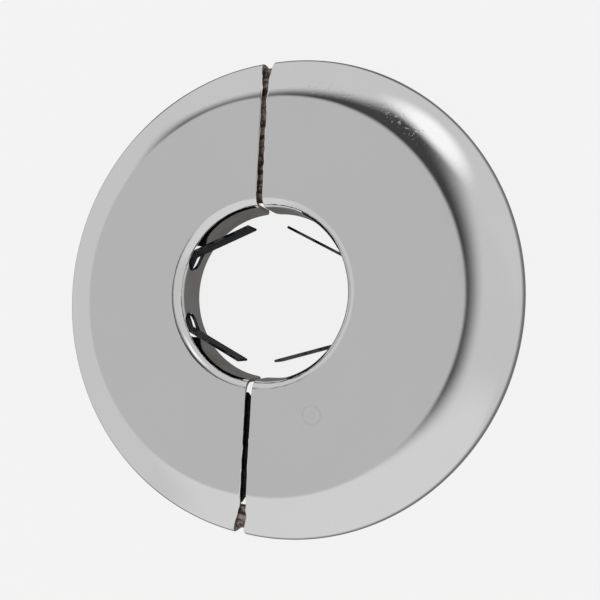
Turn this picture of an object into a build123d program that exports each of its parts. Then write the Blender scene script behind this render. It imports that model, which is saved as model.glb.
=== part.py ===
from build123d import *
import math
import os

# Split pipe rosette (floor and ceiling plate) for a 21.3 mm steel pipe.
# Two pressed sheet halves, hinged at the top by one small rivet, with a spring
# strip behind each half of the bore collar whose two ends grip the pipe.
#
# Frame: the bore axis is Z, the plate lies on its back with the rear edge of
# its skirt on z = 0 and its face up. +Y is the hinge side, -Y the latch side.

# ------------------------------------------------------------ driving sizes
PLATE_R = 32.0          # outside radius of the plate
DEPTH = 11.0            # rear edge of the skirt to the face
SHEET = 0.5             # sheet thickness
BORE_R = 11.35          # clear radius of the bore collar
COLLAR_DEPTH = 5.5      # face to the free edge of the collar
BORE_EASE_R = 4.0       # first, gentle radius of the turn from face to collar
BORE_EASE_DEG = 8.0     # how far the gentle radius turns
BORE_ROLL = 1.6         # second, tight radius of that turn
RIM_EASE_R = 12.0       # first, gentle radius of the rolled rim
RIM_EASE_DEG = 25.0     # how far the gentle radius turns
RIM_R = 2.6             # second, tight radius of the rolled rim

SPLIT_X = -0.55         # the split runs a little left of the bore centre
GAP = 0.86              # width of the split: each half stands half of it out
OPEN_DEG = 33.0         # how far the right half swings open

LAP_DROP = 0.66         # face of a lap tongue below the visible face
LAP_SHEET = 0.5         # thickness of the lap tongues
LAP_SEAT = 0.7          # width of the joggle that carries a tongue
LAP_START = 11.95       # the laps run in to this radius, just behind the collar
TOP_LAP = 1.9           # reach of the top lap past the split
TOP_LAP_Y = 12.95       # closer to the bore it only fills the split
RIM_LAP = 2.4           # reach of the rim lap past the split
TONGUE_REACH = 6.2      # reach of the latch tongue past the split
TONGUE_TOP = -13.1      # latch tongue, end towards the bore
TONGUE_END = -27.2      # latch tongue, end towards the rim
TONGUE_CUT_TOP = (1.85, 1.95)       # slanted corner towards the bore
TONGUE_CUT_END = (1.45, 2.5)        # slanted corner towards the rim
RELIEF_TOP = 0.95       # how far the left rim is cut back at the hinge
RELIEF_BOTTOM = 1.65    # how far the left rim is cut back at the latch
RELIEF_Y = 27.4         # where the cut-back starts
RIM_FLARE = 0.75        # how far the right rim reaches past its edge at the latch
RIM_FLARE_Y = 28.9

PIVOT_Y = 29.9          # hinge rivet
RIVET_R = 0.7
RIVET_HEAD_R = 1.2
RIVET_CLEAR = 0.05
EAR_R = 1.45
EAR_SHEET = 0.5
EAR_LOW_Z = 0.62        # underside of the right ear, the lower one
EAR_STEP = 0.56         # from one ear to the next

# collar slots, degrees from each half's middle
SLOT_LEFT_UP = 23.5
SLOT_LEFT_LOW = 23.5
SLOT_RIGHT_UP = 22.0
SLOT_RIGHT_LOW = 29.5
SLOT_DEPTH = 2.45       # slot centre below the face
SLOT_H = 2.9            # along the axis
SLOT_W = 3.7            # round the collar
STRIP = 0.35            # spring strip thickness
STRIP_W = 2.5           # spring strip width
STRIP_R = 12.22         # middle line of the strip behind the collar
# each leg: where it passes the collar (degrees from the half's middle), and
# its tip in the plate's frame
LEG_LEFT_UP = (28.2, (-2.47, 8.91))
LEG_LEFT_LOW = (27.8, (-2.83, -9.04))
LEG_RIGHT_UP = (25.6, (3.40, 8.69))
LEG_RIGHT_LOW = (33.4, (2.55, -8.78))

PIVOT_X = SPLIT_X
CUT_LEFT = SPLIT_X - GAP / 2
CUT_RIGHT = SPLIT_X + GAP / 2
OUT_LEFT = Location((-GAP / 2, 0, 0))
OUT_RIGHT = Location((GAP / 2, 0, 0))


def turn(cx, cz, radius, deg):
    """Point on a section's arc, deg from straight up towards the rim."""
    a = math.radians(deg)
    return (cx + radius * math.sin(a), cz + radius * math.cos(a))


# centres of the section's arcs
BORE_EASE_RAD = math.radians(BORE_EASE_DEG)
FLAT_IN = (BORE_R + BORE_ROLL * (1 - math.sin(BORE_EASE_RAD))
           + BORE_EASE_R * math.sin(BORE_EASE_RAD))
EASE_RAD = math.radians(RIM_EASE_DEG)
FLAT_OUT = (PLATE_R - RIM_R * (1 - math.sin(EASE_RAD))
            - RIM_EASE_R * math.sin(EASE_RAD))
EASE_C = (FLAT_OUT, DEPTH - RIM_EASE_R)
_knee = turn(EASE_C[0], EASE_C[1], RIM_EASE_R, RIM_EASE_DEG)
RIM_C = (_knee[0] - RIM_R * math.sin(EASE_RAD), _knee[1] - RIM_R * math.cos(EASE_RAD))
BORE_EASE_C = (FLAT_IN, DEPTH - BORE_EASE_R)
_knee = turn(*BORE_EASE_C, BORE_EASE_R, -BORE_EASE_DEG)
BORE_C = (BORE_R + BORE_ROLL, _knee[1] - BORE_ROLL * math.cos(BORE_EASE_RAD))


def rim_lines(outer, inner, r_start, z_end):
    """Closed section of a band that follows face and rim, between two
    offsets below the visible surface, from radius r_start to height z_end."""
    o = outer
    Line((r_start, DEPTH - o), (FLAT_OUT, DEPTH - o))
    ThreePointArc((FLAT_OUT, DEPTH - o),
                  turn(*EASE_C, RIM_EASE_R - o, RIM_EASE_DEG / 2),
                  turn(*EASE_C, RIM_EASE_R - o, RIM_EASE_DEG))
    ThreePointArc(turn(*RIM_C, RIM_R - o, RIM_EASE_DEG),
                  turn(*RIM_C, RIM_R - o, (RIM_EASE_DEG + 90) / 2),
                  turn(*RIM_C, RIM_R - o, 90))
    Line((PLATE_R - o, RIM_C[1]), (PLATE_R - o, z_end))
    i = inner
    Line((PLATE_R - o, z_end), (PLATE_R - i, z_end))
    Line((PLATE_R - i, z_end), (PLATE_R - i, RIM_C[1]))
    ThreePointArc(turn(*RIM_C, RIM_R - i, 90),
                  turn(*RIM_C, RIM_R - i, (RIM_EASE_DEG + 90) / 2),
                  turn(*RIM_C, RIM_R - i, RIM_EASE_DEG))
    ThreePointArc(turn(*EASE_C, RIM_EASE_R - i, RIM_EASE_DEG),
                  turn(*EASE_C, RIM_EASE_R - i, RIM_EASE_DEG / 2),
                  (FLAT_OUT, DEPTH - i))
    Line((FLAT_OUT, DEPTH - i), (r_start, DEPTH - i))


# ------------------------------------------------------------ pressed shell
with BuildPart() as shell:
    with BuildSketch(Plane.XZ):
        with BuildLine():
            rim_lines(0.0, SHEET, FLAT_IN, 0.0)
            ThreePointArc((FLAT_IN, DEPTH - SHEET),
                          turn(*BORE_EASE_C, BORE_EASE_R - SHEET, -BORE_EASE_DEG / 2),
                          turn(*BORE_EASE_C, BORE_EASE_R - SHEET, -BORE_EASE_DEG))
            ThreePointArc(turn(*BORE_C, BORE_ROLL - SHEET, -BORE_EASE_DEG),
                          turn(*BORE_C, BORE_ROLL - SHEET, -(BORE_EASE_DEG + 90) / 2),
                          turn(*BORE_C, BORE_ROLL - SHEET, -90))
            Line((BORE_R + SHEET, BORE_C[1]), (BORE_R + SHEET, DEPTH - COLLAR_DEPTH))
            Line((BORE_R + SHEET, DEPTH - COLLAR_DEPTH), (BORE_R, DEPTH - COLLAR_DEPTH))
            Line((BORE_R, DEPTH - COLLAR_DEPTH), (BORE_R, BORE_C[1]))
            ThreePointArc((BORE_R, BORE_C[1]),
                          turn(*BORE_C, BORE_ROLL, -(BORE_EASE_DEG + 90) / 2),
                          turn(*BORE_C, BORE_ROLL, -BORE_EASE_DEG))
            ThreePointArc(turn(*BORE_EASE_C, BORE_EASE_R, -BORE_EASE_DEG),
                          turn(*BORE_EASE_C, BORE_EASE_R, -BORE_EASE_DEG / 2),
                          (FLAT_IN, DEPTH))
        make_face()
    revolve(axis=Axis.Z)

    # slots through the collar for the spring legs, two in each half
    for deg in (SLOT_RIGHT_UP, -SLOT_RIGHT_LOW, 180 - SLOT_LEFT_UP, 180 + SLOT_LEFT_LOW):
        a = math.radians(deg)
        with BuildSketch(Plane(origin=((BORE_R - 1.5) * math.cos(a),
                                       (BORE_R - 1.5) * math.sin(a),
                                       DEPTH - SLOT_DEPTH),
                               x_dir=(0, 0, 1),
                               z_dir=(math.cos(a), math.sin(a), 0))):
            slot = Rectangle(SLOT_H, SLOT_W)
            # the end towards the middle of the half is a full round, the far
            # end, where the leg comes out, keeps squarer corners
            ends = slot.vertices().group_by(Axis.Y)
            near_end = -1 if math.sin(a) * math.cos(a) > 0 else 0
            near, far = (ends[-1], ends[0]) if near_end == -1 else (ends[0], ends[-1])
            fillet(near, radius=SLOT_H / 2 - 0.05)
            fillet(far, radius=0.45)
        extrude(amount=3.2, mode=Mode.SUBTRACT)

# the band one sheet below the visible face, from which the laps are cut
with BuildPart() as lap_band:
    with BuildSketch(Plane.XZ):
        with BuildLine():
            rim_lines(LAP_DROP, LAP_DROP + LAP_SHEET, LAP_START, 2.6)
            Line((LAP_START, DEPTH - LAP_DROP - LAP_SHEET),
                 (LAP_START, DEPTH - LAP_DROP))
        make_face()
    revolve(axis=Axis.Z)

# the joggle band joins a lap to the underside of its own half
with BuildPart() as seat_band:
    with BuildSketch(Plane.XZ):
        with BuildLine():
            rim_lines(SHEET / 2, LAP_DROP + LAP_SHEET, FLAT_IN + 0.25, 2.6)
            Line((FLAT_IN + 0.25, DEPTH - LAP_DROP - LAP_SHEET),
                 (FLAT_IN + 0.25, DEPTH - SHEET / 2))
        make_face()
    revolve(axis=Axis.Z)

FAR = 2 * PLATE_R
OUT = PLATE_R + 2.0     # just outside the rim


def cut_back(relief):
    """How far the left edge stands back at OUT, along the slanted cut."""
    return relief * (OUT - RELIEF_Y) / (PLATE_R - RELIEF_Y)


# ------------------------------------------------------------ left half
with BuildPart() as top_lap:
    add(lap_band.part.moved(OUT_LEFT))
    with BuildSketch(Plane.XY):
        with BuildLine():
            Polyline((CUT_LEFT - LAP_SEAT, 0), (CUT_LEFT - LAP_SEAT, RELIEF_Y),
                     (CUT_LEFT - LAP_SEAT - cut_back(RELIEF_TOP), OUT),
                     (CUT_RIGHT + TOP_LAP, OUT), (CUT_RIGHT + TOP_LAP, TOP_LAP_Y),
                     (CUT_RIGHT - 0.08, TOP_LAP_Y), (CUT_RIGHT - 0.08, 0),
                     close=True)
        make_face()
    extrude(amount=DEPTH + 1, mode=Mode.INTERSECT)

with BuildPart() as top_seat:
    add(seat_band.part.moved(OUT_LEFT))
    with BuildSketch(Plane.XY):
        with BuildLine():
            Polyline((CUT_LEFT - LAP_SEAT, 0), (CUT_LEFT - LAP_SEAT, RELIEF_Y),
                     (CUT_LEFT - LAP_SEAT - cut_back(RELIEF_TOP), OUT),
                     (CUT_LEFT - cut_back(RELIEF_TOP), OUT),
                     (CUT_LEFT, RELIEF_Y), (CUT_LEFT, 0), close=True)
        make_face()
    extrude(amount=DEPTH + 1, mode=Mode.INTERSECT)

with BuildPart() as half_left:
    add(shell.part.moved(OUT_LEFT))
    with BuildSketch(Plane.XY.offset(-1)):
        # everything left of the split, with the rim cut back at both ends
        with BuildLine():
            Polyline((-FAR, -OUT), (-FAR, OUT),
                     (CUT_LEFT - cut_back(RELIEF_TOP), OUT),
                     (CUT_LEFT, RELIEF_Y), (CUT_LEFT, -RELIEF_Y),
                     (CUT_LEFT - cut_back(RELIEF_BOTTOM), -OUT),
                     close=True)
        make_face()
    extrude(amount=DEPTH + 2, mode=Mode.INTERSECT)
    # free corners of the collar are rounded
    collar_corners = (half_left.edges().filter_by(Axis.Y)
                      .filter_by(lambda e: abs(e.center().Z - (DEPTH - COLLAR_DEPTH)) < 0.01
                                 and abs(e.center().X - CUT_LEFT) < 0.01
                                 and abs(e.center().Y) < BORE_R + 1))
    fillet(collar_corners, radius=1.0)
    add(top_seat.part)
    add(top_lap.part)
    # latch tongue, one sheet down, with both corners cut at a slant
    tx, ty = TONGUE_CUT_TOP
    ex, ey = TONGUE_CUT_END
    tip = CUT_RIGHT + TONGUE_REACH
    with BuildSketch(Plane.XY.offset(DEPTH - LAP_DROP - LAP_SHEET)):
        with BuildLine():
            Polyline((CUT_LEFT - LAP_SEAT, TONGUE_TOP), (CUT_LEFT, TONGUE_TOP),
                     (CUT_LEFT + tx, TONGUE_TOP - ty),
                     (tip - 1.4, TONGUE_TOP - ty - 0.4), (tip, TONGUE_TOP - ty - 1.9),
                     (tip, TONGUE_END + ey + 1.9), (tip - 1.4, TONGUE_END + ey + 0.4),
                     (CUT_LEFT + ex, TONGUE_END + ey),
                     (CUT_LEFT, TONGUE_END), (CUT_LEFT - LAP_SEAT, TONGUE_END),
                     close=True)
        make_face()
    extrude(amount=LAP_SHEET)
    with BuildSketch(Plane.XY.offset(DEPTH - LAP_DROP - LAP_SHEET)):
        with BuildLine():
            Polyline((CUT_LEFT - LAP_SEAT, TONGUE_TOP), (CUT_LEFT, TONGUE_TOP),
                     (CUT_LEFT, TONGUE_END), (CUT_LEFT - LAP_SEAT, TONGUE_END),
                     close=True)
        make_face()
    extrude(amount=LAP_DROP + LAP_SHEET - SHEET / 2)
    # hinge ear, the upper one, turned in from the skirt
    with BuildSketch(Plane.XY.offset(EAR_LOW_Z + EAR_STEP)):
        with BuildLine():
            Polyline((PIVOT_X, PIVOT_Y - EAR_R), (PIVOT_X - 3.2, PIVOT_Y - EAR_R + 0.2),
                     (PIVOT_X - 5.2, PLATE_R - 1.0), (PIVOT_X - 5.0, PLATE_R + 1),
                     (PIVOT_X - 1.5, PLATE_R + 1), (PIVOT_X - 1.1, PIVOT_Y + 0.9),
                     (PIVOT_X, PIVOT_Y), close=True)
        make_face()
        with Locations((PIVOT_X, PIVOT_Y)):
            Circle(EAR_R)
        with Locations((-GAP / 2, 0)):
            Circle(PLATE_R - SHEET / 2, mode=Mode.INTERSECT)
        with Locations((PIVOT_X, PIVOT_Y)):
            Circle(RIVET_R, mode=Mode.SUBTRACT)
    extrude(amount=EAR_SHEET)
half_left.part.label = "half_plate_left"

# ------------------------------------------------------------ right half
with BuildPart() as rim_lap:
    add(lap_band.part.moved(OUT_RIGHT))
    with BuildSketch(Plane.XY):
        with BuildLine():
            Polyline((CUT_LEFT - RIM_LAP, -RELIEF_Y - 0.35), (CUT_LEFT - RIM_LAP, -FAR),
                     (CUT_RIGHT + LAP_SEAT, -FAR), (CUT_RIGHT + LAP_SEAT, -RELIEF_Y - 0.35),
                     close=True)
        make_face()
    extrude(amount=DEPTH + 1, mode=Mode.INTERSECT)

with BuildPart() as rim_seat:
    add(seat_band.part.moved(OUT_RIGHT))
    with BuildSketch(Plane.XY):
        with BuildLine():
            Polyline((CUT_RIGHT, -RELIEF_Y - 0.35), (CUT_RIGHT, -RIM_FLARE_Y),
                     (CUT_RIGHT - RIM_FLARE, -PLATE_R + 0.9), (CUT_RIGHT - RIM_FLARE, -FAR),
                     (CUT_RIGHT + LAP_SEAT, -FAR), (CUT_RIGHT + LAP_SEAT, -RELIEF_Y - 0.35),
                     close=True)
        make_face()
    extrude(amount=DEPTH + 1, mode=Mode.INTERSECT)

with BuildPart() as half_right:
    add(shell.part.moved(OUT_RIGHT))
    with BuildSketch(Plane.XY.offset(-1)):
        with BuildLine():
            Polyline((CUT_RIGHT - RIM_FLARE, -FAR), (CUT_RIGHT - RIM_FLARE, -PLATE_R + 0.9),
                     (CUT_RIGHT, -RIM_FLARE_Y), (CUT_RIGHT, FAR), (FAR, FAR), (FAR, -FAR),
                     close=True)
        make_face()
    extrude(amount=DEPTH + 2, mode=Mode.INTERSECT)
    collar_corners = (half_right.edges().filter_by(Axis.Y)
                      .filter_by(lambda e: abs(e.center().Z - (DEPTH - COLLAR_DEPTH)) < 0.01
                                 and abs(e.center().X - CUT_RIGHT) < 0.01
                                 and abs(e.center().Y) < BORE_R + 1))
    fillet(collar_corners, radius=1.0)
    add(rim_seat.part)
    add(rim_lap.part)
    # hinge ear, the lower one
    with BuildSketch(Plane.XY.offset(EAR_LOW_Z)):
        with BuildLine():
            Polyline((PIVOT_X, PIVOT_Y - EAR_R), (PIVOT_X + 3.2, PIVOT_Y - EAR_R + 0.2),
                     (PIVOT_X + 5.2, PLATE_R - 1.0), (PIVOT_X + 5.0, PLATE_R + 1),
                     (PIVOT_X + 1.5, PLATE_R + 1), (PIVOT_X + 1.1, PIVOT_Y + 0.9),
                     (PIVOT_X, PIVOT_Y), close=True)
        make_face()
        with Locations((PIVOT_X, PIVOT_Y)):
            Circle(EAR_R)
        with Locations((GAP / 2, 0)):
            Circle(PLATE_R - SHEET / 2, mode=Mode.INTERSECT)
        with Locations((PIVOT_X, PIVOT_Y)):
            Circle(RIVET_R + RIVET_CLEAR, mode=Mode.SUBTRACT)
    extrude(amount=EAR_SHEET)
half_right.part.label = "half_plate_right"

# ------------------------------------------------------------ hinge rivet
RIVET_TOP = EAR_LOW_Z + EAR_STEP + EAR_SHEET
with BuildPart() as rivet:
    with BuildSketch(Plane.XZ.offset(-PIVOT_Y)):
        with BuildLine():
            Polyline((PIVOT_X, EAR_LOW_Z - 0.44), (PIVOT_X + RIVET_HEAD_R - 0.12, EAR_LOW_Z - 0.44),
                     (PIVOT_X + RIVET_HEAD_R, EAR_LOW_Z - 0.32),
                     (PIVOT_X + RIVET_HEAD_R, EAR_LOW_Z - 0.05), (PIVOT_X + RIVET_R, EAR_LOW_Z - 0.05),
                     (PIVOT_X + RIVET_R, RIVET_TOP), (PIVOT_X + RIVET_HEAD_R - 0.08, RIVET_TOP),
                     (PIVOT_X + RIVET_HEAD_R - 0.08, RIVET_TOP + 0.22),
                     (PIVOT_X + RIVET_HEAD_R - 0.3, RIVET_TOP + 0.4),
                     (PIVOT_X, RIVET_TOP + 0.46), close=True)
        make_face()
    revolve(axis=Axis((PIVOT_X, PIVOT_Y, 0), (0, 0, 1)))
rivet.part.label = "hinge_rivet"


# ------------------------------------------------------------ springs
def leg_points(side, sign, leg):
    """Tip of a leg, and where its line, carried on through the collar, meets
    the bow behind it."""
    deg, tip = leg
    cx = side * GAP / 2
    a = math.radians(deg)
    gate = (cx + side * (BORE_R + SHEET / 2) * math.cos(a),
            sign * (BORE_R + SHEET / 2) * math.sin(a))
    dx, dy = gate[0] - tip[0], gate[1] - tip[1]
    n = math.hypot(dx, dy)
    dx, dy = dx / n, dy / n
    gx = gate[0] - cx
    b = gx * dx + gate[1] * dy
    c = gx * gx + gate[1] ** 2 - STRIP_R ** 2
    t = -b + math.sqrt(b * b - c)
    return tip, (gate[0] + dx * t, gate[1] + dy * t)


def build_spring(side, up, low, label):
    tip_up, root_up = leg_points(side, 1, up)
    tip_low, root_low = leg_points(side, -1, low)
    back = side * (GAP / 2 + STRIP_R + 0.12)
    with BuildPart() as spring:
        with BuildSketch(Plane.XY.offset(DEPTH - SLOT_DEPTH - STRIP_W / 2)):
            with BuildLine():
                path = FilletPolyline(tip_up, root_up,
                                      (back, root_up[1] * 0.42),
                                      (back, root_low[1] * 0.42),
                                      root_low, tip_low, radius=0.55)
                offset(path, amount=STRIP / 2, kind=Kind.ARC, side=Side.BOTH, mode=Mode.REPLACE)
            make_face()
        extrude(amount=STRIP_W)
    spring.part.label = label
    return spring


spring_left = build_spring(-1, LEG_LEFT_UP, LEG_LEFT_LOW, "spring_left")
spring_right = build_spring(1, LEG_RIGHT_UP, LEG_RIGHT_LOW, "spring_right")

# ------------------------------------------------------------ write the pieces
os.makedirs("parts", exist_ok=True)
export_step(half_left.part, "parts/half_plate_left.step")
export_step(half_right.part, "parts/half_plate_right.step")
export_step(rivet.part, "parts/hinge_rivet.step")
export_step(spring_left.part, "parts/spring_left.step")
export_step(spring_right.part, "parts/spring_right.step")

for piece in (half_left, half_right, rivet, spring_left, spring_right):
    bb = piece.part.bounding_box()
    print(piece.part.label, "solids", len(piece.part.solids()),
          "volume", round(piece.part.volume, 2),
          "box", [round(v, 2) for v in (*bb.min, *bb.max)])
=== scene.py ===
import math
import bmesh
import bpy
import numpy as np
from mathutils import Matrix, Vector


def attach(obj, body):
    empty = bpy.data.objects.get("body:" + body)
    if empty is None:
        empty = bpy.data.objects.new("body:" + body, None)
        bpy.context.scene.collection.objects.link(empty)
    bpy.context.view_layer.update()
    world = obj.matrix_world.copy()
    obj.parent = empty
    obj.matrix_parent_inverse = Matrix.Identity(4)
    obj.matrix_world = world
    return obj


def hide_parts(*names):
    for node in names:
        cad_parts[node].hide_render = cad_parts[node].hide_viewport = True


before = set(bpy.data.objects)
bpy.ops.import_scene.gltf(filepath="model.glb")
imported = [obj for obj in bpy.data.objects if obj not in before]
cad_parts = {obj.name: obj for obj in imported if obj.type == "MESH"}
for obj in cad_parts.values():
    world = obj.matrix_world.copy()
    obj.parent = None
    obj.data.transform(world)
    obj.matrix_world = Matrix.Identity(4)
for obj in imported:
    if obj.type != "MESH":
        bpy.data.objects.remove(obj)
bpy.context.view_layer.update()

MM = 0.001
scene = bpy.context.scene
scene.view_settings.view_transform = "Standard"
scene.view_settings.look = "None"
scene.view_settings.exposure = 0.0
scene.view_settings.gamma = 1.0

# ------------------------------------------------------------------ camera
# above the plate, a little to its right, looking back down at it
cam_data = bpy.data.cameras.new("camera")
cam_data.sensor_fit = "HORIZONTAL"
cam_data.sensor_width = 36.0
cam_data.lens = 33.203
cam_data.clip_start = 0.005
cam_data.clip_end = 20.0
cam = bpy.data.objects.new("camera", cam_data)
scene.collection.objects.link(cam)
right = Vector((0.93776, 0.04973, -0.3437)).normalized()
forward = Vector((-0.34607, 0.05155, -0.93679)).normalized()
up = right.cross(forward).normalized()
right = forward.cross(up).normalized()
cam.matrix_world = (Matrix.Translation(Vector((30.098, -4.4406, 76.368)) * MM)
                    @ Matrix((right, up, -forward)).transposed().to_4x4())
scene.camera = cam


# ------------------------------------------------------------------ node help
class Graph:
    """Short names for the few shader nodes used here."""

    def __init__(self, tree):
        self.t = tree

    def add(self, kind, **props):
        n = self.t.nodes.new(kind)
        for k, v in props.items():
            setattr(n, k, v)
        return n

    def put(self, socket, value):
        if hasattr(value, "is_output"):
            self.t.links.new(value, socket)
        else:
            socket.default_value = value

    def math(self, op, a, b=None, c=None, clamp=False):
        n = self.add("ShaderNodeMath", operation=op, use_clamp=clamp)
        self.put(n.inputs[0], a)
        if b is not None:
            self.put(n.inputs[1], b)
        if c is not None:
            self.put(n.inputs[2], c)
        return n.outputs[0]

    def vec(self, op, a, b=None, scale=None):
        n = self.add("ShaderNodeVectorMath", operation=op)
        self.put(n.inputs[0], a)
        if b is not None:
            self.put(n.inputs[1], b)
        if scale is not None:
            self.put(n.inputs[3], scale)
        return n.outputs["Value"] if op in ("LENGTH", "DISTANCE", "DOT_PRODUCT") else n.outputs[0]

    def step(self, value, lo, hi, out_lo=0.0, out_hi=1.0):
        n = self.add("ShaderNodeMapRange", interpolation_type="SMOOTHSTEP")
        self.put(n.inputs[0], value)
        self.put(n.inputs[1], lo)
        self.put(n.inputs[2], hi)
        self.put(n.inputs[3], out_lo)
        self.put(n.inputs[4], out_hi)
        return n.outputs[0]

    def mix(self, fac, a, b):
        n = self.add("ShaderNodeMix", data_type="RGBA")
        self.put(n.inputs[0], fac)
        self.put(n.inputs[6], a if hasattr(a, "is_output") else (*a, 1.0))
        self.put(n.inputs[7], b if hasattr(b, "is_output") else (*b, 1.0))
        return n.outputs[2]

    def place(self, vector, loc=(0, 0, 0), rot=(0, 0, 0), scale=(1, 1, 1), kind="TEXTURE"):
        n = self.add("ShaderNodeMapping", vector_type=kind)
        self.put(n.inputs[0], vector)
        n.inputs[1].default_value = loc
        n.inputs[2].default_value = rot
        n.inputs[3].default_value = scale
        return n.outputs[0]

    def noise(self, vector, scale, detail=2.0, rough=0.5, distortion=0.0):
        n = self.add("ShaderNodeTexNoise")
        self.put(n.inputs["Vector"], vector)
        n.inputs["Scale"].default_value = scale
        n.inputs["Detail"].default_value = detail
        n.inputs["Roughness"].default_value = rough
        n.inputs["Distortion"].default_value = distortion
        return n.outputs[0]


def lin(r, g, b):
    """A display colour, 0 to 255, as scene light."""
    return tuple(((v / 255 + 0.055) / 1.055) ** 2.4 if v > 10 else v / 255 / 12.92
                 for v in (r, g, b))


# ------------------------------------------------------------------ studio
# Plain soft studio light in neutral greys: a dim room with a round scrim over
# the plate and a few large soft lights round it.
world = bpy.data.worlds.new("studio")
scene.world = world
world.use_nodes = True
wt = world.node_tree
wt.nodes.clear()
g = Graph(wt)
towards = g.add("ShaderNodeTexCoord").outputs["Generated"]


def off(axis):
    """Angle in degrees from a direction in the studio."""
    d = g.vec("DOT_PRODUCT", towards, tuple(Vector(axis).normalized()))
    d = g.math("MAXIMUM", g.math("MINIMUM", d, 1.0), -1.0)
    return g.math("MULTIPLY", g.math("ARCCOSINE", d), 180 / math.pi)


def grey(v):
    return (v, v, v)


ROOM, BELOW = 0.05, 0.16
# direction, outer and inner radius in degrees, brightness
LIGHTS = [((0.98, -0.12, 0.17), 84, 62, 0.56),    # right
          ((0.63, 0.75, 0.17), 52, 38, 0.58),     # upper right
          ((-0.05, -0.95, 0.30), 68, 52, 0.66),   # low front
          ((-0.99, -0.05, 0.10), 54, 40, 0.58),   # left
          ((-0.30, 0.93, 0.20), 46, 34, 0.58),    # top
          ((0.25, 0.68, 0.69), 17, 5, 1.0),       # key
          ((-0.454, 0.051, 0.889), 27, 23, 0.48)] # scrim
tone = grey(ROOM)
for axis, outer, inner, level in LIGHTS:
    tone = g.mix(g.step(off(axis), outer, inner), tone, grey(level))
tone = g.mix(g.step(off((0, 0, 1)), 105.0, 135.0), tone, grey(BELOW))
studio = g.add("ShaderNodeBackground")
g.put(studio.inputs[0], tone)
backdrop = g.add("ShaderNodeBackground")
backdrop.inputs[0].default_value = (0.888, 0.888, 0.888, 1)
shown = g.add("ShaderNodeMixShader")
g.put(shown.inputs[0], g.add("ShaderNodeLightPath").outputs["Is Camera Ray"])
wt.links.new(studio.outputs[0], shown.inputs[1])
wt.links.new(backdrop.outputs[0], shown.inputs[2])
wo = g.add("ShaderNodeOutputWorld")
wt.links.new(shown.outputs[0], wo.inputs[0])

# ------------------------------------------------------------------ floor
fm = bpy.data.meshes.new("floor")
s = 3.0
fm.from_pydata([(-s, -s, 0), (s, -s, 0), (s, s, 0), (-s, s, 0)], [], [(0, 1, 2, 3)])
floor = bpy.data.objects.new("floor", fm)
scene.collection.objects.link(floor)
fmat = bpy.data.materials.new("floor")
fmat.use_nodes = True
fb = fmat.node_tree.nodes["Principled BSDF"]
fb.inputs["Base Color"].default_value = (0.08, 0.08, 0.08, 1)
fb.inputs["Roughness"].default_value = 0.9
fb.inputs["Specular IOR Level"].default_value = 0.0
fb.inputs["Emission Color"].default_value = (1, 1, 1, 1)
fb.inputs["Emission Strength"].default_value = 0.852
fm.materials.append(fmat)
floor.visible_glossy = False

# ------------------------------------------------------------------ sizes, mm
PLATE_R, DEPTH, SHEET = 32.0, 11.0, 0.5
BORE_R, COLLAR_DEPTH = 11.35, 5.5
BORE_EASE_R, BORE_EASE_DEG, BORE_ROLL = 4.0, 8.0, 1.6
RIM_EASE_R, RIM_EASE_DEG, RIM_R = 12.0, 25.0, 2.6
SPLIT_X, GAP = -0.55, 0.86
CUT_LEFT, CUT_RIGHT = SPLIT_X - GAP / 2, SPLIT_X + GAP / 2
LAP_DROP, LAP_SHEET, LAP_SEAT = 0.66, 0.5, 0.7
TOP_LAP, RIM_LAP, TONGUE_REACH = 1.9, 2.4, 6.2
LAP_START, TOP_LAP_Y = 11.95, 12.95
TONGUE_TOP, TONGUE_END = -13.1, -27.2
TONGUE_CUT_TOP, TONGUE_CUT_END = (1.85, 1.95), (1.45, 2.5)
RELIEF_TOP, RELIEF_BOTTOM, RELIEF_Y = 0.95, 1.65, 27.4
RIM_FLARE, RIM_FLARE_Y = 0.75, 28.9
PIVOT_X, PIVOT_Y, RIVET_R, RIVET_CLEAR = SPLIT_X, 29.9, 0.7, 0.05
EAR_R, EAR_SHEET, EAR_LOW_Z, EAR_STEP = 1.45, 0.5, 0.62, 0.56
SLOTS = {"left": (180 - 23.5, 180 + 23.5), "right": (22.0, -29.5)}
SLOT_DEPTH, SLOT_H, SLOT_W = 2.45, 2.9, 3.7
EDGE = 0.09             # rounding of the sheared edges


def on_arc(c, radius, deg):
    a = math.radians(deg)
    return (c[0] + radius * math.sin(a), c[1] + radius * math.cos(a), math.sin(a), math.cos(a))


_b = math.radians(BORE_EASE_DEG)
_e = math.radians(RIM_EASE_DEG)
FLAT_IN = BORE_R + BORE_ROLL * (1 - math.sin(_b)) + BORE_EASE_R * math.sin(_b)
FLAT_OUT = PLATE_R - RIM_R * (1 - math.sin(_e)) - RIM_EASE_R * math.sin(_e)
EASE_C = (FLAT_OUT, DEPTH - RIM_EASE_R)
_k = on_arc(EASE_C, RIM_EASE_R, RIM_EASE_DEG)
RIM_C = (_k[0] - RIM_R * math.sin(_e), _k[1] - RIM_R * math.cos(_e))
BORE_EASE_C = (FLAT_IN, DEPTH - BORE_EASE_R)
_k = on_arc(BORE_EASE_C, BORE_EASE_R, -BORE_EASE_DEG)
BORE_C = (BORE_R + BORE_ROLL, _k[1] - BORE_ROLL * math.cos(_b))


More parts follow.
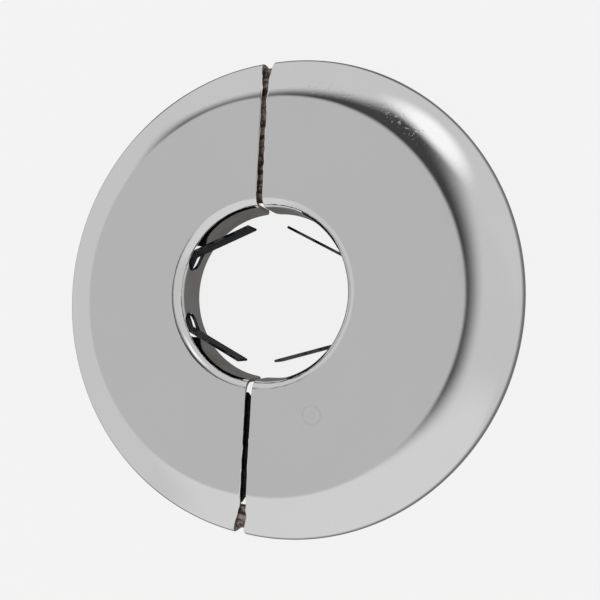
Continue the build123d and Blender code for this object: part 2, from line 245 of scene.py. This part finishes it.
def stations(r_start=None, z_end=0.0):
    """Stations along the pressed section: radius, height, normal, and how far
    the skin is drawn in there to round a free edge."""
    out = []
    if r_start is None:
        z0 = DEPTH - COLLAR_DEPTH
        for dz, inset in ((0.0, EDGE), (0.3 * EDGE, 0.3 * EDGE), (EDGE, 0.0), (2 * EDGE, 0.0)):
            out.append((BORE_R, z0 + dz, -1.0, 0.0, inset))
        for z in np.linspace(z0 + 0.4, BORE_C[1], 14):
            out.append((BORE_R, z, -1.0, 0.0, 0.0))
        for deg in np.linspace(-90, -BORE_EASE_DEG, 20)[1:]:
            out.append((*on_arc(BORE_C, BORE_ROLL, deg), 0.0))
        for deg in np.linspace(-BORE_EASE_DEG, 0, 8)[1:]:
            out.append((*on_arc(BORE_EASE_C, BORE_EASE_R, deg), 0.0))
        for r in (FLAT_IN + 0.12, *np.linspace(FLAT_IN + 0.5, FLAT_OUT - 0.5, 14), FLAT_OUT - 0.12):
            out.append((r, DEPTH, 0.0, 1.0, 0.0))
    else:
        for r in np.linspace(r_start, max(FLAT_OUT, r_start + 0.1), 10)[:-1]:
            if r < FLAT_OUT:
                out.append((r, DEPTH, 0.0, 1.0, 0.0))
    for deg in np.linspace(0, RIM_EASE_DEG, 18):
        out.append((*on_arc(EASE_C, RIM_EASE_R, deg), 0.0))
    for deg in np.linspace(RIM_EASE_DEG, 90, 26)[1:]:
        out.append((*on_arc(RIM_C, RIM_R, deg), 0.0))
    for z in np.linspace(RIM_C[1], z_end + 0.4, 10)[1:]:
        out.append((PLATE_R, z, 1.0, 0.0, 0.0))
    for dz, inset in ((2 * EDGE, 0.0), (EDGE, 0.0), (0.3 * EDGE, 0.3 * EDGE), (0.0, EDGE)):
        out.append((PLATE_R, z_end + dz, 1.0, 0.0, inset))
    if r_start is not None:
        out = [s_ for s_ in out if s_[0] >= r_start]
    return np.array(out)


def edge_left(y):
    back = np.clip(y - RELIEF_Y, 0, None) * RELIEF_TOP + np.clip(-y - RELIEF_Y, 0, None) * RELIEF_BOTTOM
    return CUT_LEFT - back / (PLATE_R - RELIEF_Y)


def edge_right(y):
    k = np.clip((-y - RIM_FLARE_Y) / (PLATE_R - 0.9 - RIM_FLARE_Y), 0, 1)
    return CUT_RIGHT - RIM_FLARE * k


def shifted(edge, by):
    return lambda y: edge(y) + by


def straight(x):
    return lambda y: x + 0.0 * y


def cut_angle(r, xc, edge, near):
    """Angle, close to near, where a circle of radius r round xc crosses an edge."""
    a = np.full_like(r, math.radians(near - 32))
    b = np.full_like(r, math.radians(near + 32))
    fa = xc + r * np.cos(a) - edge(r * np.sin(a))
    for _ in range(48):
        m = (a + b) / 2
        fm_ = xc + r * np.cos(m) - edge(r * np.sin(m))
        same = np.sign(fm_) == np.sign(fa)
        a = np.where(same, m, a)
        b = np.where(same, b, m)
    return (a + b) / 2


def sweep(st, o_out, o_in, xc, start, end, steps, bevel=EDGE, mats=(0, 1), burrs=None):
    """A pressed band: the section between two depths below the visible
    surface, carried round from one cut to another."""
    n = len(st)
    phis = (0.0, 30.0, 60.0, 90.0)
    ends_ = [(3 * bevel, 0.0)] + [(bevel * (1 - math.sin(math.radians(p))), bevel * (1 - math.cos(math.radians(p))))
                                  for p in phis]
    rows = [("s", d, o) for d, o in reversed(ends_)]
    rows += [("m", t, 0.0) for t in np.linspace(0, 1, steps + 2)[1:-1]]
    rows += [("e", d, o) for d, o in ends_]
    low = DEPTH - COLLAR_DEPTH
    q = np.clip(st[:, 1] - low, 0, 1)
    setback = np.where((st[:, 0] < BORE_R + 0.01) & (st[:, 1] < low + 1.0) & (st[:, 2] < -0.5),
                       1 - np.sqrt(np.clip(1 - (1 - q) ** 2, 0, 1)), 0.0)
    verts = []
    for kind, d, o in rows:
        ring = []
        for skin, sign in ((o_out, 1.0), (o_in, -1.0)):
            depth = skin + sign * (st[:, 4] + o)
            r = st[:, 0] - depth * st[:, 2]
            z = st[:, 1] - depth * st[:, 3]
            a0 = cut_angle(r, xc, *start) + setback / r
            a1 = cut_angle(r, xc, *end) - setback / r
            dd = np.full(n, float(d))
            if burrs is not None and sign > 0 and kind != "m" and d < bevel * 0.7:
                dd = dd - burrs[0 if kind == "s" else 1] * (1 - d / bevel)
            if kind == "s":
                a = a0 + dd / r
            elif kind == "e":
                a = a1 - dd / r
            else:
                lo_, hi_ = a0 + ends_[0][0] * 1.6 / r, a1 - ends_[0][0] * 1.6 / r
                a = lo_ + (hi_ - lo_) * d
            ring.append(np.stack([xc + r * np.cos(a), r * np.sin(a), z], 1))
        verts.append(np.concatenate([ring[0], ring[1][::-1]]))
    m = 2 * n
    faces, mat = [], []
    for k in range(len(rows) - 1):
        for i in range(m):
            j = (i + 1) % m
            faces.append((k * m + i, k * m + j, (k + 1) * m + j, (k + 1) * m + i))
            mat.append(mats[0])
    for k in (0, len(rows) - 1):
        for i in range(n - 1):
            f = (k * m + i, k * m + i + 1, k * m + m - 2 - i, k * m + m - 1 - i)
            faces.append(f)
            mat.append(mats[1])
    return np.concatenate(verts), faces, mat


def to_bmesh(bm, part):
    """Adds one closed piece, with its faces turned outwards."""
    verts, faces, mat = part
    made = [bm.verts.new(Vector(v) * MM) for v in verts]
    new = []
    for f, k in zip(faces, mat):
        face = bm.faces.new([made[i] for i in f])
        face.material_index = k
        new.append(face)
    bmesh.ops.recalc_face_normals(bm, faces=new)


def prism(bm, outline, z0, z1, hole=None, bevel=0.05, mat=0):
    """A flat tab cut from sheet, with its edges rounded."""
    tab = bmesh.new()
    loops = [outline] + ([hole] if hole else [])
    edges = []
    for loop in loops:
        vs = [tab.verts.new((x * MM, y * MM, z0 * MM)) for x, y in loop]
        edges += [tab.edges.new((a, b)) for a, b in zip(vs, vs[1:] + vs[:1])]
    bmesh.ops.triangle_fill(tab, use_beauty=True, use_dissolve=True, edges=edges)
    out = bmesh.ops.extrude_face_region(tab, geom=tab.faces[:])
    moved = [v for v in out["geom"] if isinstance(v, bmesh.types.BMVert)]
    bmesh.ops.translate(tab, verts=moved, vec=(0, 0, (z1 - z0) * MM))
    bmesh.ops.recalc_face_normals(tab, faces=tab.faces[:])
    sharp = [e for e in tab.edges if e.is_manifold and e.calc_face_angle(0) > math.radians(40)
             and abs(e.verts[0].co.z - e.verts[1].co.z) < 1e-9]
    bmesh.ops.bevel(tab, geom=sharp, offset=bevel * MM, segments=2, profile=0.5, affect="EDGES",
                    clamp_overlap=True)
    for f in tab.faces:
        f.material_index = mat
    me = bpy.data.meshes.new("tab")
    tab.to_mesh(me)
    tab.free()
    bm.from_mesh(me)
    bpy.data.meshes.remove(me)


def slot_cutter(side):
    """Prisms that punch the two leg slots through a collar."""
    bm = bmesh.new()
    for deg in SLOTS[side]:
        a = math.radians(deg)
        radial = Vector((math.cos(a), math.sin(a), 0))
        tang = Vector((math.sin(a), -math.cos(a), 0))
        near_up = math.sin(a) * math.cos(a) > 0
        h, w = SLOT_H / 2, SLOT_W / 2
        pts = []
        for qz, qt in ((1, 1), (1, -1), (-1, -1), (-1, 1)):
            big = (qt > 0) == near_up
            rad = SLOT_H / 2 - 0.05 if big else 0.45
            cz, ct = qz * (h - rad), qt * (w - rad)
            a0 = {(1, 1): 90, (1, -1): 0, (-1, -1): -90, (-1, 1): 180}[(qz, qt)]
            for k in range(9):
                p = math.radians(a0 - k * 90 / 8)
                pts.append((cz + rad * math.cos(p), ct + rad * math.sin(p)))
        base = radial * (BORE_R - 1.5) + Vector((0, 0, DEPTH - SLOT_DEPTH))
        lows = [bm.verts.new((base + tang * t + Vector((0, 0, z))) * MM) for z, t in pts]
        tops = [bm.verts.new((base + tang * t + Vector((0, 0, z)) + radial * 3.2) * MM) for z, t in pts]
        n = len(pts)
        fs = [bm.faces.new(lows), bm.faces.new(tops[::-1])]
        for i in range(n):
            j = (i + 1) % n
            fs.append(bm.faces.new((lows[i], tops[i], tops[j], lows[j])))
        bmesh.ops.recalc_face_normals(bm, faces=fs)
    me = bpy.data.meshes.new("cutter")
    bm.to_mesh(me)
    bm.free()
    ob = bpy.data.objects.new("cutter", me)
    scene.collection.objects.link(ob)
    return ob


def burr_line(st, seed, size):
    """An uneven lip on a sheared edge, only along the flat and the rim ease."""
    rng = np.random.RandomState(seed)
    along = st[:, 0]
    out = np.zeros(len(st))
    for step_, amp in ((0.9, 0.6), (0.35, 0.4)):
        knots = np.arange(10, 34, step_)
        out += amp * np.interp(along, knots, rng.rand(len(knots)))
    keep = (st[:, 3] > 0.9) & (along > 13.4) & (along < 29.5)
    return np.where(keep, size * np.clip(out - 0.35, 0, 1) * 2.0, 0.0)


def half(side):
    xc = -GAP / 2 if side == "left" else GAP / 2
    # stations close enough together that the burrs have somewhere to sit
    st = stations()
    flat_rows = np.linspace(FLAT_IN + 0.5, FLAT_OUT - 0.5, 46)
    head_ = st[st[:, 0] < FLAT_IN + 0.3]
    tail = st[(st[:, 0] > FLAT_OUT - 0.3)]
    mid = np.stack([flat_rows, 0 * flat_rows + DEPTH, 0 * flat_rows, 0 * flat_rows + 1, 0 * flat_rows], 1)
    st = np.concatenate([head_, mid, tail])
    if side == "left":
        start, end = (edge_left, 90), (edge_left, 270)
        burrs = (burr_line(st, 4, 0.12), burr_line(st, 9, 0.12))
    else:
        start, end = (edge_right, -90), (edge_right, 90)
        burrs = (burr_line(st, 15, 0.09), burr_line(st, 22, 0.15))
    bm = bmesh.new()
    to_bmesh(bm, sweep(st, 0.0, SHEET, xc, start, end, 132, burrs=burrs))
    me = bpy.data.meshes.new("shell")
    bm.to_mesh(me)
    bm.free()
    shell = bpy.data.objects.new("shell", me)
    scene.collection.objects.link(shell)
    cutter = slot_cutter(side)
    cut = shell.modifiers.new("slots", "BOOLEAN")
    cut.operation, cut.object, cut.solver = "DIFFERENCE", cutter, "EXACT"
    dg = bpy.context.evaluated_depsgraph_get()
    cut_me = bpy.data.meshes.new_from_object(shell.evaluated_get(dg))
    bpy.data.objects.remove(shell)
    bpy.data.objects.remove(cutter)
    bm = bmesh.new()
    bm.from_mesh(cut_me)
    bpy.data.meshes.remove(cut_me)

    lap_low, lap_top = DEPTH - LAP_DROP - LAP_SHEET, DEPTH - LAP_DROP
    if side == "left":
        inner = np.array([(r_, DEPTH, 0.0, 1.0, 0.0) for r_ in (LAP_START, 12.3, 12.7, 12.9, 13.0, 13.1, 13.3)])
        lap = stations(FLAT_IN + 0.25, 2.6)

        def lap_end(y_):
            return np.where(y_ > TOP_LAP_Y, CUT_RIGHT + TOP_LAP, CUT_RIGHT - 0.08)

        # the laps use material 2, whose dark base colour is partly painted shade for the gap
        to_bmesh(bm, sweep(np.concatenate([inner, lap]), LAP_DROP, LAP_DROP + LAP_SHEET, xc, (lap_end, 90),
                           (shifted(edge_left, -LAP_SEAT), 90), 6, bevel=0.06, mats=(2, 2)))
        to_bmesh(bm, sweep(lap, SHEET - 0.04, LAP_DROP + LAP_SHEET - 0.01, xc, (shifted(edge_left, -0.004), 90),
                           (shifted(edge_left, -LAP_SEAT), 90), 3, bevel=0.03, mats=(2, 2)))
        tx, ty = TONGUE_CUT_TOP
        ex, ey = TONGUE_CUT_END
        tip = CUT_RIGHT + TONGUE_REACH
        # the tongue and its seat use material 3, whose near-black colour is painted shade for the lower gap
        prism(bm, [(CUT_LEFT - LAP_SEAT, TONGUE_TOP), (CUT_LEFT, TONGUE_TOP),
                   (CUT_LEFT + tx, TONGUE_TOP - ty), (tip - 1.4, TONGUE_TOP - ty - 0.4),
                   (tip, TONGUE_TOP - ty - 1.9), (tip, TONGUE_END + ey + 1.9),
                   (tip - 1.4, TONGUE_END + ey + 0.4), (CUT_LEFT + ex, TONGUE_END + ey),
                   (CUT_LEFT, TONGUE_END), (CUT_LEFT - LAP_SEAT, TONGUE_END)],
              lap_low, lap_top, bevel=0.06, mat=3)
        prism(bm, [(CUT_LEFT - LAP_SEAT, TONGUE_TOP), (CUT_LEFT - 0.004, TONGUE_TOP),
                   (CUT_LEFT - 0.004, TONGUE_END), (CUT_LEFT - LAP_SEAT, TONGUE_END)],
              lap_low + 0.01, DEPTH - SHEET + 0.04, bevel=0.03, mat=3)
    else:
        lap = stations(27.85, 2.6)
        # the rim lap uses material 2, whose dark base colour is partly painted shade for the gap
        to_bmesh(bm, sweep(lap, LAP_DROP, LAP_DROP + LAP_SHEET, xc, (straight(CUT_LEFT - RIM_LAP), -90),
                           (straight(CUT_RIGHT + LAP_SEAT), -90), 6, bevel=0.06, mats=(2, 2)))
        to_bmesh(bm, sweep(lap, SHEET - 0.04, LAP_DROP + LAP_SHEET - 0.01, xc, (shifted(edge_right, 0.004), -90),
                           (straight(CUT_RIGHT + LAP_SEAT), -90), 3, bevel=0.03, mats=(2, 2)))

    # hinge ear: a round eye and a strap that runs back into the skirt
    s_ = -1 if side == "left" else 1
    z0 = EAR_LOW_Z + (EAR_STEP if side == "left" else 0.0)
    eye = [(PIVOT_X - s_ * EAR_R * math.cos(t), PIVOT_Y + EAR_R * math.sin(t))
           for t in np.radians(np.linspace(-90, 40, 20))]
    rr = PLATE_R - SHEET / 2
    xa, xb = PIVOT_X + s_ * 1.45, PIVOT_X + s_ * 5.0
    skirt = [(x, math.sqrt(rr * rr - (x - xc) ** 2)) for x in np.linspace(xa, xb, 10)]
    outline = eye + [(PIVOT_X + s_ * 1.1, PIVOT_Y + 1.2)] + skirt + [
        (PIVOT_X + s_ * 5.2, PLATE_R - 1.0), (PIVOT_X + s_ * 3.2, PIVOT_Y - EAR_R + 0.2)]
    hr = RIVET_R + (RIVET_CLEAR if side == "right" else 0.0)
    hole = [(PIVOT_X + hr * math.cos(t), PIVOT_Y + hr * math.sin(t))
            for t in np.radians(np.arange(0, 360, 10))]
    prism(bm, outline, z0, z0 + EAR_SHEET, hole=hole, bevel=0.04, mat=0)

    me = bpy.data.meshes.new("pressed_half_" + side)
    bm.to_mesh(me)
    bm.free()
    me.shade_smooth()
    me.set_sharp_from_angle(angle=math.radians(33))
    ob = bpy.data.objects.new("pressed_half_" + side, me)
    scene.collection.objects.link(ob)
    return ob


# ------------------------------------------------------------------ materials
def metal(name, colour, rough):
    m = bpy.data.materials.new(name)
    m.use_nodes = True
    b = m.node_tree.nodes["Principled BSDF"]
    b.inputs["Base Color"].default_value = (*colour, 1)
    b.inputs["Metallic"].default_value = 1.0
    b.inputs["Roughness"].default_value = rough
    return m, b, Graph(m.node_tree)


def in_mm(k):
    """Object coordinates in millimetres, and the distance from the bore axis."""
    pos = k.place(k.add("ShaderNodeTexCoord").outputs["Object"], scale=(MM, MM, MM))
    sp = k.add("ShaderNodeSeparateXYZ")
    k.put(sp.inputs[0], pos)
    x, y, z = sp.outputs
    cb_ = k.add("ShaderNodeCombineXYZ")
    k.put(cb_.inputs[0], x)
    k.put(cb_.inputs[1], y)
    flat_ = cb_.outputs[0]
    return pos, x, y, z, flat_, k.vec("LENGTH", flat_)


def band_mask(k, value, lo, hi, soft):
    """1 between lo and hi, falling off softly on both sides."""
    return k.math("MULTIPLY", k.step(value, lo - soft, lo + soft), k.step(value, hi + soft, hi - soft))


def sector(k, direction, deg, half_, soft):
    """1 within half_ degrees of one direction round the bore axis."""
    a = math.radians(deg)
    c = k.vec("DOT_PRODUCT", direction, (math.cos(a), math.sin(a), 0))
    return k.step(c, math.cos(math.radians(half_ + soft)), math.cos(math.radians(half_ - soft)))


chrome, cb, k = metal("plate_chrome", (0.93, 0.93, 0.93), 0.045)
pos, x, y, z, flat_, rad = in_mm(k)
way = k.vec("NORMALIZE", flat_)
rim = k.step(rad, 25.2, 27.0)
ring = k.step(rad, 13.4, 12.4)
# heights in millimetres
swell = k.math("MULTIPLY", k.math("SUBTRACT", k.noise(pos, 0.10, detail=1.0, rough=0.4), 0.5), 0.020)
ripple = k.math("MULTIPLY", k.math("SUBTRACT", k.noise(pos, 0.42, detail=2.0, rough=0.5), 0.5), 0.0016)
lines = k.add("ShaderNodeCombineXYZ")
k.put(lines.inputs[0], k.math("MULTIPLY", rad, 0.045))
round_ = k.vec("ADD", k.vec("SCALE", way, scale=16.0), lines.outputs[0])
fanned = k.math("MULTIPLY", k.math("SUBTRACT", k.noise(round_, 0.9, detail=3.0, rough=0.6), 0.5),
                k.math("MULTIPLY_ADD", k.math("MAXIMUM", rim, ring), 0.0042, 0.0004))
# small pits where the plating ran rough
grain = k.noise(pos, 2.3, detail=3.0, rough=0.65)
spots = k.math("MAXIMUM", sector(k, way, 73, 6, 3), sector(k, way, 49, 6, 4))
spots = k.math("MAXIMUM", spots, k.math("MULTIPLY", sector(k, way, 60, 26, 6), 0.30))
upper = k.math("MULTIPLY", band_mask(k, rad, 26.6, 28.6, 0.5), spots)
lower = k.math("MULTIPLY", band_mask(k, rad, 27.6, 30.6, 0.6),
               k.math("MULTIPLY", sector(k, way, -68, 20, 8), 0.35))
edge_ = k.math("MULTIPLY", ring, k.math("MULTIPLY_ADD", sector(k, way, 165, 60, 20), 0.35, 0.15))
groove = k.add("ShaderNodeCombineXYZ")
k.put(groove.inputs[0], k.math("MULTIPLY", rad, 3.4))
k.put(groove.inputs[1], k.math("MULTIPLY", z, 1.4))
turned = k.vec("ADD", k.vec("SCALE", way, scale=2.6), groove.outputs[0])
turned = k.math("MULTIPLY", k.math("MULTIPLY", k.math("SUBTRACT", k.noise(turned, 1.0, detail=3.0, rough=0.6), 0.5), ring), 0.020)
where = k.math("MAXIMUM", k.math("MAXIMUM", upper, lower), edge_)
pits = k.math("MULTIPLY", k.math("MULTIPLY", k.step(grain, 0.56, 0.70), where), -0.0065)
# a faint round mark on the right half
mark = k.vec("LENGTH", k.vec("SUBTRACT", flat_, (8.2, -15.05, 0)))
dint = k.math("MULTIPLY", band_mask(k, mark, 0.95, 1.25, 0.22), -0.0035)
dint = k.math("ADD", dint, k.math("MULTIPLY", k.step(mark, 0.42, 0.15), -0.0022))
height = k.math("ADD", k.math("ADD", swell, ripple), k.math("ADD", k.math("ADD", fanned, turned), k.math("ADD", pits, dint)))
bump = k.add("ShaderNodeBump")
bump.inputs["Strength"].default_value = 1.0
bump.inputs["Distance"].default_value = MM
k.put(bump.inputs["Height"], height)
k.put(cb.inputs["Normal"], bump.outputs[0])
haze = k.noise(pos, 0.25, detail=4.0, rough=0.6)
k.put(cb.inputs["Roughness"], k.math("ADD", k.step(haze, 0.35, 0.75, 0.035, 0.075),
                                     k.math("MULTIPLY", where, 0.03)))
# inside the collar the plating is thin and brownish
thin = k.math("MULTIPLY", k.step(rad, 12.0, 11.5), k.step(z, 10.0, 9.3))
tone = k.mix(k.step(haze, 0.3, 0.7), (0.50, 0.45, 0.40), (0.70, 0.67, 0.64))
body_tone = k.mix(k.step(k.noise(pos, 0.07, detail=2.0), 0.3, 0.7), (0.925, 0.928, 0.925), (0.945, 0.945, 0.942))
worn = k.math("ADD", k.math("MULTIPLY", band_mask(k, mark, 1.05, 1.30, 0.16), 0.55),
              k.math("MULTIPLY", band_mask(k, mark, 0.30, 0.46, 0.12), 0.45))
worn = k.math("MULTIPLY", worn, k.step(k.noise(pos, 1.3, detail=2.0), 0.3, 0.6, 0.3, 1.0))
body_tone = k.mix(worn, body_tone, (0.74, 0.74, 0.73))
glow = k.math("MULTIPLY", band_mask(k, mark, 0.72, 0.90, 0.14), 0.5)
body_tone = k.mix(glow, body_tone, (0.99, 0.99, 0.985))
fine = k.noise(pos, 5.0, detail=2.0, rough=0.7)
body_tone = k.mix(k.step(fine, 0.3, 0.75, 0.0, 0.5), body_tone, (0.90, 0.902, 0.898))
k.put(cb.inputs["Base Color"], k.mix(thin, body_tone, tone))

sheared, sb, k = metal("sheared_edge", (0.62, 0.59, 0.55), 0.34)
pos = in_mm(k)[0]
n_ = k.noise(pos, 3.2, detail=3.0, rough=0.7)
k.put(sb.inputs["Base Color"], k.mix(k.step(n_, 0.42, 0.62), (0.30, 0.25, 0.21), (0.86, 0.84, 0.80)))
k.put(sb.inputs["Roughness"], k.step(n_, 0.3, 0.7, 0.5, 0.22))
bump = k.add("ShaderNodeBump")
bump.inputs["Distance"].default_value = MM
k.put(bump.inputs["Height"], k.math("MULTIPLY", n_, 0.03))
k.put(sb.inputs["Normal"], bump.outputs[0])

# partly painted shade: the lap seen down the gaps between the halves has a brown mottle, and its dark base colour
# also stands in for the shade in those narrow gaps
lap_mottle_and_shade, lap_shade_bsdf, k = metal("lap_mottle_and_painted_shade", (0.2, 0.18, 0.16), 0.42)
pos = in_mm(k)[0]
n_ = k.noise(pos, 1.1, detail=4.0, rough=0.7)
k.put(lap_shade_bsdf.inputs["Base Color"], k.mix(k.step(n_, 0.40, 0.64), (0.060, 0.047, 0.041), (0.40, 0.34, 0.31)))
k.put(lap_shade_bsdf.inputs["Roughness"], k.step(n_, 0.3, 0.7, 0.55, 0.32))

# painted shade: the tongue seen through the lower gap between the halves gets a near-black base colour that stands
# in for the shade in that gap
tongue_shade_mat, tongue_shade_bsdf, k = metal("tongue_painted_shade", (0.02, 0.02, 0.02), 0.4)
pos = in_mm(k)[0]
n_ = k.noise(pos, 0.8, detail=4.0, rough=0.7)
k.put(tongue_shade_bsdf.inputs["Base Color"], k.mix(k.step(n_, 0.45, 0.75), (0.012, 0.012, 0.013), (0.05, 0.047, 0.045)))
k.put(tongue_shade_bsdf.inputs["Roughness"], k.step(n_, 0.3, 0.7, 0.5, 0.33))

for side in ("left", "right"):
    ob = half(side)
    for m in (chrome, sheared, lap_mottle_and_shade, tongue_shade_mat):
        ob.data.materials.append(m)
    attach(ob, side + "_half")
    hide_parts("half_plate_" + side)

# ------------------------------------------------------------------ springs
spring, sb, k = metal("spring_steel", (0.04, 0.045, 0.06), 0.3)
pos = in_mm(k)[0]
long_ = k.noise(k.place(pos, scale=(3.0, 3.0, 0.35)), 1.0, detail=4.0, rough=0.65)
blue = k.mix(k.step(long_, 0.38, 0.66), (0.006, 0.007, 0.011), (0.035, 0.038, 0.050))
up_ = k.vec("DOT_PRODUCT", k.add("ShaderNodeNewGeometry").outputs["Normal"], (0, 0, 1))
slit = k.step(k.math("ABSOLUTE", up_), 0.65, 0.92)
wear = k.math("MULTIPLY", slit, k.step(long_, 0.42, 0.6))
k.put(sb.inputs["Base Color"], k.mix(wear, blue, (0.10, 0.10, 0.11)))
k.put(sb.inputs["Roughness"], k.step(long_, 0.3, 0.7, 0.42, 0.24))
bump = k.add("ShaderNodeBump")
bump.inputs["Distance"].default_value = MM
k.put(bump.inputs["Height"], k.math("MULTIPLY", long_, 0.012))
k.put(sb.inputs["Normal"], bump.outputs[0])

pin, pb, k = metal("rivet_steel", (0.45, 0.44, 0.42), 0.35)
pos = in_mm(k)[0]
n_ = k.noise(pos, 2.0, detail=3.0, rough=0.6)
k.put(pb.inputs["Base Color"], k.mix(k.step(n_, 0.35, 0.7), (0.26, 0.25, 0.24), (0.55, 0.54, 0.52)))
k.put(pb.inputs["Roughness"], k.step(n_, 0.3, 0.7, 0.45, 0.28))

for name, m, wide in (("spring_left", spring, 0.05), ("spring_right", spring, 0.05), ("hinge_rivet", pin, 0.06)):
    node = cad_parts[name]
    node.data.materials.clear()
    node.data.materials.append(m)
    bev = node.modifiers.new("edges", "BEVEL")
    bev.width = wide * MM
    bev.segments = 2
    bev.limit_method = "ANGLE"
    bev.angle_limit = math.radians(50)
